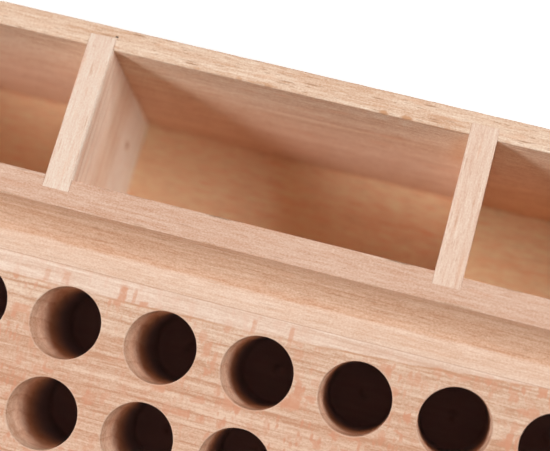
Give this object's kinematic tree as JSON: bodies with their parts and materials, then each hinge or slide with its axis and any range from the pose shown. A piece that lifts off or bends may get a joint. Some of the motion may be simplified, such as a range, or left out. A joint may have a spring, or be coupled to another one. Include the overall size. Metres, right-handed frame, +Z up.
{
  "type": "tool storage caddy",
  "caption": "Low wooden bench caddy: a compartmented tray behind a coved rail, and in front a solid block with a sloping top drilled with rows of blind round holes for tools.",
  "frame": {"origin": "middle of the underside", "axes": "+X to the right along the length, +Y to the back (the tray side), +Z up; the drilled block faces -Y"},
  "size_m": [0.2518, 0.111, 0.0559],
  "materials": {
    "beech_block": "sanded, unfinished quarter-sawn beech with ray flecks",
    "beech_rail": "sanded, unfinished beech",
    "beech_back": "sanded, unfinished beech with short dark pore dashes",
    "beech_end": "sanded, unfinished beech",
    "beech_floor": "sanded, unfinished beech",
    "beech_divider": "sanded, unfinished pale beech"
  },
  "bodies": {
    "root": {"tool_block": "beech_block", "mid_rail": "beech_rail", "back_wall": "beech_back", "left_end": "beech_end", "right_end": "beech_end", "tray_floor": "beech_floor", "left_divider": "beech_divider", "right_divider": "beech_divider"}
  },
  "joints": []
}
